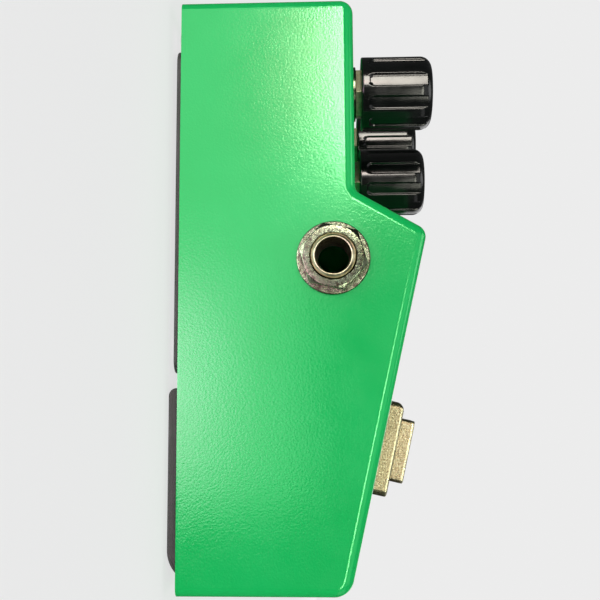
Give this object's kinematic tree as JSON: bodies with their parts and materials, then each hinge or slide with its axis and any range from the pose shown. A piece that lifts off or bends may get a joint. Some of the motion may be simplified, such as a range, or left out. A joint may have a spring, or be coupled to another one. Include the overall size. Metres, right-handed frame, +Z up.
{
  "type": "guitar effects pedal",
  "caption": "Wedge-nosed die-cast stompbox with fluted knobs on a low rear deck, a square sprung footswitch, side jacks and a battery door.",
  "frame": {"origin": "under the middle of the housing, level with the underside of the front pad", "axes": "+X to the player's right, where the input jack is; +Y to the rear, the knob end; +Z up"},
  "size_m": [0.0788, 0.124, 0.0564],
  "materials": {
    "green_paint": "semi-gloss powder coat with fine orange peel",
    "black_rubber": "matt moulded rubber",
    "zinc_steel": "zinc-plated steel",
    "black_plastic": "glossy moulded plastic",
    "nickel": "bright nickel plate",
    "satin_nickel": "satin champagne nickel plate",
    "board_green": "solder-masked board",
    "red_lens": "clear red epoxy",
    "battery_label": "printed sleeve",
    "red_insulation": "coloured insulation",
    "capacitor_blue": "shrink sleeve",
    "brass": "plated spring brass",
    "phenolic": "laminated insulation"
  },
  "bodies": {
    "housing": {"enclosure_shell": "green_paint", "base_mat": "black_rubber", "base_plate": "zinc_steel", "base_screw_1": "zinc_steel", "base_screw_2": "zinc_steel", "base_screw_3": "zinc_steel", "base_screw_4": "zinc_steel", "door_hinge_pin": "zinc_steel", "switch_bracket": "zinc_steel", "drive_pot_body": "zinc_steel", "tone_pot_body": "zinc_steel", "level_pot_body": "zinc_steel", "battery_tray": "black_plastic", "battery_snap": "black_plastic", "battery_lead_black": "black_plastic", "opamp_chip": "black_plastic", "buffer_transistor_1": "black_plastic", "buffer_transistor_2": "black_plastic", "dc_inlet": "black_plastic", "switch_body": "black_plastic", "drive_pot_nut": "nickel", "drive_pot_washer": "nickel", "tone_pot_nut": "nickel", "tone_pot_washer": "nickel", "level_pot_nut": "nickel", "level_pot_washer": "nickel", "lamp_holder": "nickel", "output_jack_frame": "nickel", "output_jack_nut": "nickel", "output_jack_washer": "nickel", "input_jack_frame": "nickel", "input_jack_nut": "nickel", "input_jack_washer": "nickel", "footswitch_spring": "nickel", "footswitch_nut": "nickel", "footswitch_bezel": "satin_nickel", "circuit_board": "board_green", "indicator_lamp": "red_lens", "battery": "battery_label", "battery_lead_red": "red_insulation", "film_capacitor_1": "red_insulation", "film_capacitor_2": "red_insulation", "film_capacitor_3": "red_insulation", "electrolytic_capacitor_1": "capacitor_blue", "electrolytic_capacitor_2": "capacitor_blue", "electrolytic_capacitor_3": "capacitor_blue", "output_tip_contact": "brass", "input_tip_contact": "brass", "output_contact_insulator": "phenolic", "input_contact_insulator": "phenolic"},
    "drive_control": {"drive_knob": "black_plastic", "drive_pot_shaft": "nickel"},
    "tone_control": {"tone_knob": "black_plastic", "tone_pot_shaft": "nickel"},
    "level_control": {"level_knob": "black_plastic", "level_pot_shaft": "nickel"},
    "footswitch": {"footswitch_button": "satin_nickel", "switch_plunger": "phenolic"},
    "battery_door": {"battery_door": "black_plastic", "door_pad": "black_rubber"}
  },
  "joints": [
    {"name": "drive_turn", "type": "hinge", "parent": "housing", "child": "drive_control", "pos_m": [-0.0215, 0.0453, 0.03895], "axis": [0, 0, -1], "range_deg": [-154.5, 145.5]},
    {"name": "tone_turn", "type": "hinge", "parent": "housing", "child": "tone_control", "pos_m": [0, 0.0303, 0.03895], "axis": [0, 0, -1], "range_deg": [-162, 138]},
    {"name": "level_turn", "type": "hinge", "parent": "housing", "child": "level_control", "pos_m": [0.0215, 0.0453, 0.03895], "axis": [0, 0, -1], "range_deg": [-145.5, 154.5]},
    {"name": "footswitch_press", "type": "slide", "parent": "housing", "child": "footswitch", "axis": [0, 0.2173, -0.9761], "range_m": [0, 0.0025], "stiffness_N_per_m": 900, "springref_m": -0.002, "deforming": ["footswitch_spring"]},
    {"name": "battery_door_swing", "type": "hinge", "parent": "housing", "child": "battery_door", "pos_m": [0, -0.0555, 0.0046], "axis": [-1, 0, 0], "range_deg": [0, 75]}
  ]
}
